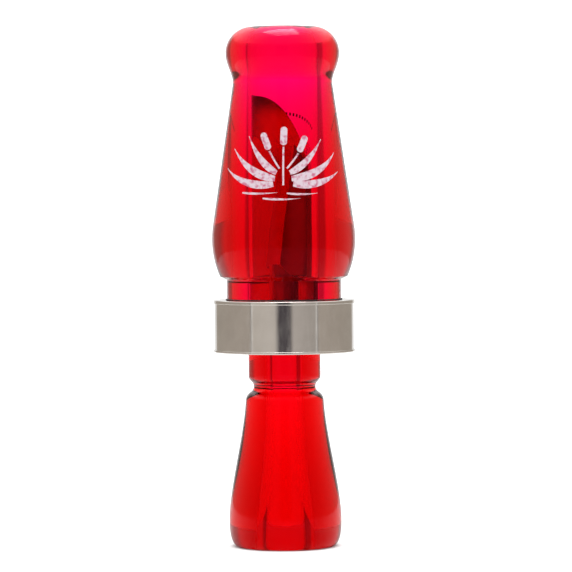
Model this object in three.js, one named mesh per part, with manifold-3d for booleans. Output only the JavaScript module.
// A duck call: an acrylic barrel with a metal band, pushed over the tenon of an
// acrylic insert that carries two O-rings, the reed and the wedge that clamps it.
// Millimetres. +Z is the axis of the call, the bell end of the insert stands on z = 0,
// and the tone face, reed and wedge look along +X.

import * as THREE from "three";
import { mergeVertices } from "three/addons/utils/BufferGeometryUtils.js";
import Module from "manifold-3d";

const wasm = await Module();
wasm.setup();

// ---------------------------------------------------------------- driving dimensions

const segments = 40; // facets round the axis, the same on every turned piece

// Insert, from its base upwards
const baseFlatRadius = 11.4;
const bellRadius = 13.75;
const bellWidestHeight = 6.3;
const bellLength = 35.6;
const bellTopRadius = 9.55;
const footPull = 0.9; // how far the foot's curve is drawn in from the widest radius
const flankPulls = [0.27, 0.29]; // shares of the flank's height held straight at its two ends
const flankFlare = 0.45; // how far the flank leans out just below the groove
const grooveLength = 5.6;
const grooveDeepest = 0.62; // place of the deepest point, as a share of the groove's length
const grooveReach = Math.PI * 0.3; // half of the angle that the groove's round floor spans
const grooveLead = [point(0.1, 0.7), point(0.5, 1.5)]; // inward and upward steps that lead into it
const grooveFloorRadius = 7.56;
const grooveArcRadius = 1.62;
const collarProud = 0.26; // how far the collar stands out past the bore
const collarLength = 6.1;
const tenonLength = 10.5;
const boardLength = 42;
const boardRelief = 0.6; // how far the board's back lies inside the tenon's round

// Air way through the insert
const exhaustRadius = 3.05;
const exhaustTipRadius = 2.4;
const flareRadius = 4.9;
const flareLength = 31.9;
const channelWidth = 5;
const channelTipDepth = 2.2;
const channelStart = 1; // above the notch
const channelFloorShare = 0.8; // how far across the bore the channel's floor starts
const channelLift = 1; // how much the channel's floor rises along the nose

// Tone face, reed and wedge
const toneFaceOffset = 3.2;
const noseLength = 25;
const noseTipThickness = 0.7;
const noseRound = [0.52, 0.036]; // heights of the nose curve's two pulls, in nose lengths below the tip
const noseTipPull = 0.43; // offset of the upper pull, as a share of the tip's
const reedThickness = 0.25;
const reedMargin = 0.225; // from the reed's sides to the board's edges
const reedLength = 39.8;
const reedLift = 0.3;
const reedCorner = 1.2;
const wedgeLength = 9.2;

// Barrel, from its lower end upwards
const boreRadius = 8.54;
const neckRadius = 13.95;
const neckLength = 17.7;
const bulbRadius = 17.5;
const bulbHeight = 27.5;
const bulbArcRadius = 22.7;
const coneAngle = THREE.MathUtils.degToRad(8.46);
const waistRadius = 11.9;
const waistHeight = 66.2;
const lipRadius = 13.87;
const lipArcRadius = 6.34;
const waistBlend = 1;
const undercut = 0.7; // height and width of the step under the bulb
const undercutRise = 0.1; // how much the step climbs on its way out
const barrelLength = 79;
const edgeBreak = 0.4; // of the crisp edges
const waistCurve = [point(0.1, 0.26), point(0.75, 0.68)]; // shares of the swell and of the rise

// Band
const bandWall = 3.05;
const bandHeight = 12.7;
const beadRadius = 0.45;
const beadSpan = Math.PI / 3; // half of the angle that a bead's round spans
const beadProud = 0.27;

// O-rings
const oRingSection = 1.6;
const oRingHeights = { o_ring_lower: 3.0, o_ring_upper: 7.5 }; // above the shoulder

// Clearances
const tenonClearance = 0.24;
const oRingClearance = 0.1;
const seatGap = 0.2;
const bandClearance = 0.1;
const cutMargin = 1; // how far what is cut away reaches past the solid
const clampClearance = 0.1;

// ---------------------------------------------------------------- derived places

const grooveZ = bellLength + grooveDeepest * grooveLength;
const collarZ = bellLength + grooveLength;
const shoulderZ = collarZ + collarLength;
const notchZ = shoulderZ + tenonLength;
const tenonRadius = boreRadius - tenonClearance;
const boardBackRadius = tenonRadius - boardRelief;
const collarRadius = boreRadius + collarProud;
const noseTipOffset = noseTipThickness - boardBackRadius;
const wedgeZ = notchZ + clampClearance;
const wedgeTopZ = wedgeZ + wedgeLength;
const boardZ = wedgeTopZ + clampClearance;
const tipZ = boardZ + boardLength;
const barrelZ = shoulderZ + seatGap;
const reedFace = toneFaceOffset + reedLift;
const wedgeFace = reedFace + reedThickness + clampClearance;
const reedWidth = 2 * (Math.sqrt(boardBackRadius ** 2 - (reedFace + reedThickness) ** 2) - reedMargin);
const bandRadius = neckRadius + bandWall;
const oRingCentreRadius = boreRadius - oRingClearance - oRingSection / 2;
const oRingGrooveFloor = oRingCentreRadius - oRingSection / 2 - oRingClearance;
const oRingGrooveHalf = oRingSection / 2 + 2 * oRingClearance;

// ---------------------------------------------------------------- solids

// A closed solid from a geometry whose coincident vertices are welded first.
function toSolid(geometry) {
  geometry.deleteAttribute("normal");
  geometry.deleteAttribute("uv");
  const welded = mergeVertices(geometry, 1e-4);
  const index = welded.index.array;
  const triangles = [];
  for (let i = 0; i < index.length; i += 3) {
    const [a, b, c] = [index[i], index[i + 1], index[i + 2]];
    if (a !== b && b !== c && c !== a) triangles.push(a, b, c);
  }
  const vertProperties = new Float32Array(welded.attributes.position.array);
  const triVerts = new Uint32Array(triangles);
  return new wasm.Manifold(new wasm.Mesh({ numProp: 3, vertProperties, triVerts }));
}

function toGeometry(solid) {
  const mesh = solid.getMesh();
  const geometry = new THREE.BufferGeometry();
  geometry.setAttribute("position", new THREE.BufferAttribute(mesh.vertProperties, 3));
  geometry.setIndex(new THREE.BufferAttribute(mesh.triVerts, 1));
  geometry.computeVertexNormals();
  return geometry;
}

// Turns an outline of (radius, height) points round the Z axis.
function turned(outline) {
  const geometry = new THREE.LatheGeometry(outline, segments);
  geometry.rotateX(Math.PI / 2);
  return toSolid(geometry);
}

// Extrudes a shape drawn in X and Z along Y, centred on the XZ plane.
function extrudedAlongY(shape, width) {
  const settings = { depth: width, bevelEnabled: false, curveSegments: 12 };
  const geometry = new THREE.ExtrudeGeometry(shape, settings);
  geometry.rotateX(Math.PI / 2);
  geometry.translate(0, width / 2, 0);
  return toSolid(geometry);
}

// Extrudes a shape drawn in X and Y from one height to another.
function extrudedAlongZ(shape, fromZ, length) {
  const settings = { depth: length, bevelEnabled: false, curveSegments: 16 };
  const geometry = new THREE.ExtrudeGeometry(shape, settings);
  geometry.translate(0, 0, fromZ);
  return toSolid(geometry);
}

function point(radius, height) {
  return new THREE.Vector2(radius, height);
}

// Points on an arc of an outline, both ends included.
function arc(radius, height, arcRadius, fromAngle, toAngle, steps) {
  const points = [];
  for (let i = 0; i <= steps; i += 1) {
    const angle = fromAngle + ((toAngle - fromAngle) * i) / steps;
    points.push(point(radius + arcRadius * Math.cos(angle), height + arcRadius * Math.sin(angle)));
  }
  return points;
}

function bezier(start, startPull, endPull, end, steps) {
  return new THREE.CubicBezierCurve(start, startPull, endPull, end).getPoints(steps);
}

// ---------------------------------------------------------------- insert

function bellOutline() {
  const foot = bezier(
    point(baseFlatRadius, 0),
    point(bellRadius - footPull, 0),
    point(bellRadius, bellWidestHeight / 3),
    point(bellRadius, bellWidestHeight),
    6,
  );
  const rise = bellLength - bellWidestHeight;
  const flank = bezier(
    point(bellRadius, bellWidestHeight),
    point(bellRadius, bellWidestHeight + flankPulls[0] * rise),
    point(bellTopRadius + flankFlare, bellLength - flankPulls[1] * rise),
    point(bellTopRadius, bellLength),
    10,
  );
  return [point(0, 0), ...foot, ...flank.slice(1)];
}

// The lanyard groove: a round floor whose two edges are rounded over.
function grooveOutline() {
  const centreRadius = grooveFloorRadius + grooveArcRadius;
  const [from, to] = [Math.PI + grooveReach, Math.PI - grooveReach];
  const lead = grooveLead.map((step) => point(bellTopRadius - step.x, bellLength + step.y));
  return [...lead, ...arc(centreRadius, grooveZ, grooveArcRadius, from, to, 6)];
}

function oRingGrooveOutline(height) {
  return [
    point(tenonRadius, height - oRingGrooveHalf),
    point(oRingGrooveFloor, height - oRingGrooveHalf),
    point(oRingGrooveFloor, height + oRingGrooveHalf),
    point(tenonRadius, height + oRingGrooveHalf),
  ];
}

function insertOutline() {
  const grooves = Object.values(oRingHeights).flatMap((height) => oRingGrooveOutline(shoulderZ + height));
  return [
    ...bellOutline(),
    ...grooveOutline(),
    point(collarRadius, collarZ),
    point(collarRadius, shoulderZ),
    point(tenonRadius, shoulderZ),
    ...grooves,
    point(tenonRadius, boardZ),
    point(boardBackRadius, boardZ + edgeBreak),
    point(boardBackRadius, tipZ),
    point(0, tipZ),
  ];
}

// Exhaust bore: flared at the bell, tapered inside the tenon so that it stays below the
// notch floor, then straight to a drill point under the channel.
function exhaustBore() {
  const topZ = boardZ + exhaustRadius;
  return turned([
    point(0, -cutMargin),
    point(flareRadius, -cutMargin),
    point(flareRadius, 0),
    point(exhaustRadius, flareLength),
    point(exhaustRadius, shoulderZ),
    point(exhaustTipRadius, notchZ),
    point(exhaustTipRadius, topZ),
    point(0, topZ + exhaustTipRadius / 2),
  ]);
}

// What is cut away in front of the tone face, and the curve that rounds off the nose.
function toneFaceCut() {
  const outside = boreRadius + cutMargin;
  const shape = new THREE.Shape();
  shape.moveTo(toneFaceOffset, notchZ);
  shape.lineTo(toneFaceOffset, tipZ - noseLength);
  shape.bezierCurveTo(
    toneFaceOffset,
    tipZ - noseRound[0] * noseLength,
    noseTipPull * noseTipOffset,
    tipZ - noseRound[1] * noseLength,
    noseTipOffset,
    tipZ,
  );
  shape.lineTo(noseTipOffset, tipZ + cutMargin);
  shape.lineTo(outside, tipZ + cutMargin);
  shape.lineTo(outside, notchZ);
  return extrudedAlongY(shape, 2 * outside);
}

// Tone channel: a slot in the tone face whose floor climbs from the bore to the nose.
function toneChannel() {
  const startZ = boardZ + channelStart;
  const outside = boreRadius + cutMargin;
  const floorEnd = toneFaceOffset - channelTipDepth;
  const shape = new THREE.Shape();
  shape.moveTo(outside, startZ);
  shape.lineTo(0, startZ);
  shape.lineTo(-channelFloorShare * exhaustTipRadius, boardZ + exhaustRadius);
  shape.lineTo(floorEnd, tipZ - noseLength / 2);
  shape.lineTo(floorEnd + channelLift, tipZ + cutMargin);
  shape.lineTo(outside, tipZ + cutMargin);
  return extrudedAlongY(shape, channelWidth);
}

function insert() {
  return turned(insertOutline()).subtract(toneFaceCut()).subtract(exhaustBore()).subtract(toneChannel());
}

function oRing(height) {
  const half = oRingSection / 2;
  const outline = arc(oRingCentreRadius, shoulderZ + height, half, 0, 2 * Math.PI, 8);
  outline[outline.length - 1] = outline[0].clone();
  return turned(outline);
}

// ---------------------------------------------------------------- reed and wedge

function reed() {
  const half = reedWidth / 2;
  const startZ = notchZ + clampClearance;
  const endZ = startZ + reedLength;
  const shape = new THREE.Shape();
  shape.moveTo(-half, startZ);
  shape.lineTo(half, startZ);
  shape.lineTo(half, endZ - reedCorner);
  shape.lineTo(half - reedCorner, endZ);
  shape.lineTo(reedCorner - half, endZ);
  shape.lineTo(-half, endZ - reedCorner);
  const geometry = new THREE.ExtrudeGeometry(shape, { depth: reedThickness, bevelEnabled: false });
  geometry.rotateX(Math.PI / 2);
  geometry.rotateZ(Math.PI / 2);
  geometry.translate(reedFace, 0, 0);
  return toSolid(geometry);
}

// A segment of the tenon's round, seated on the reed inside the notch.
function wedgeBlock() {
  const reach = Math.acos(wedgeFace / tenonRadius);
  const shape = new THREE.Shape();
  shape.absarc(0, 0, tenonRadius, -reach, reach, false);
  shape.closePath();
  return extrudedAlongZ(shape, wedgeZ, wedgeLength);
}

// ---------------------------------------------------------------- barrel and band

// The bulb's arc, then the straight cone that leaves it at a tangent.
function bulbOutline(bottomZ) {
  const underAngle = -Math.asin((bulbHeight - neckLength - undercut) / bulbArcRadius);
  const centreRadius = bulbRadius - bulbArcRadius;
  const bulb = arc(centreRadius, bottomZ + bulbHeight, bulbArcRadius, underAngle, coneAngle, 8);
  const start = bulb[bulb.length - 1];
  const coneTopZ = bottomZ + waistHeight - waistBlend;
  const coneTop = point(start.x - (coneTopZ - start.y) * Math.tan(coneAngle), coneTopZ);
  return [point(neckRadius + undercut, bottomZ + neckLength + undercutRise), ...bulb, coneTop];
}

// The rolled lip: its round starts at the widest place and ends at the mouth's inner edge.
function lipOutline(bottomZ) {
  const crestRadius = boreRadius + edgeBreak;
  const centreRadius = lipRadius - lipArcRadius;
  const crestAngle = Math.acos((crestRadius - centreRadius) / lipArcRadius);
  const crestZ = bottomZ + barrelLength;
  const centreZ = crestZ - lipArcRadius * Math.sin(crestAngle);
  const round = arc(centreRadius, centreZ, lipArcRadius, 0, crestAngle, 7);
  return [...round, point(boreRadius, crestZ - edgeBreak)];
}

function barrelOutline() {
  const bottomZ = barrelZ;
  const waistZ = bottomZ + waistHeight;
  const lip = lipOutline(bottomZ);
  const flare = lip[0].y - waistZ;
  const swell = lipRadius - waistRadius;
  return [
    point(boreRadius + edgeBreak, bottomZ),
    point(neckRadius, bottomZ),
    point(neckRadius, bottomZ + neckLength),
    ...bulbOutline(bottomZ),
    point(waistRadius, waistZ),
    ...waistCurve.map((step) => point(waistRadius + step.x * swell, waistZ + step.y * flare)),
    ...lip,
    point(boreRadius, bottomZ + edgeBreak),
    point(boreRadius + edgeBreak, bottomZ),
  ];
}

function bandOutline() {
  const inner = neckRadius + bandClearance;
  const top = barrelZ + bandHeight;
  const bead = bandRadius + beadProud - beadRadius;
  return [
    point(inner, barrelZ),
    point(bead, barrelZ),
    ...arc(bead, barrelZ + beadRadius, beadRadius, -beadSpan, beadSpan, 3),
    point(bandRadius, barrelZ + 2 * beadRadius),
    point(bandRadius, top - 2 * beadRadius),
    ...arc(bead, top - beadRadius, beadRadius, -beadSpan, beadSpan, 3),
    point(bead, top),
    point(inner, top),
    point(inner, barrelZ),
  ];
}

// ---------------------------------------------------------------- assembly

function piece(name, solid, color, roughness, metalness) {
  const material = new THREE.MeshStandardMaterial({ color, roughness, metalness });
  const mesh = new THREE.Mesh(toGeometry(solid), material);
  mesh.name = name;
  return mesh;
}

const call = new THREE.Group();
call.add(piece("insert", insert(), 0xe00008, 0.08, 0));
for (const [name, height] of Object.entries(oRingHeights)) {
  call.add(piece(name, oRing(height), 0x16151a, 0.6, 0));
}
call.add(piece("reed", reed(), 0xe8e6df, 0.35, 0));
call.add(piece("wedge_block", wedgeBlock(), 0x2a1c16, 0.8, 0));
call.add(piece("barrel", turned(barrelOutline()), 0xe6003c, 0.08, 0));
call.add(piece("band", turned(bandOutline()), 0xa8a096, 0.25, 1));

export default call;
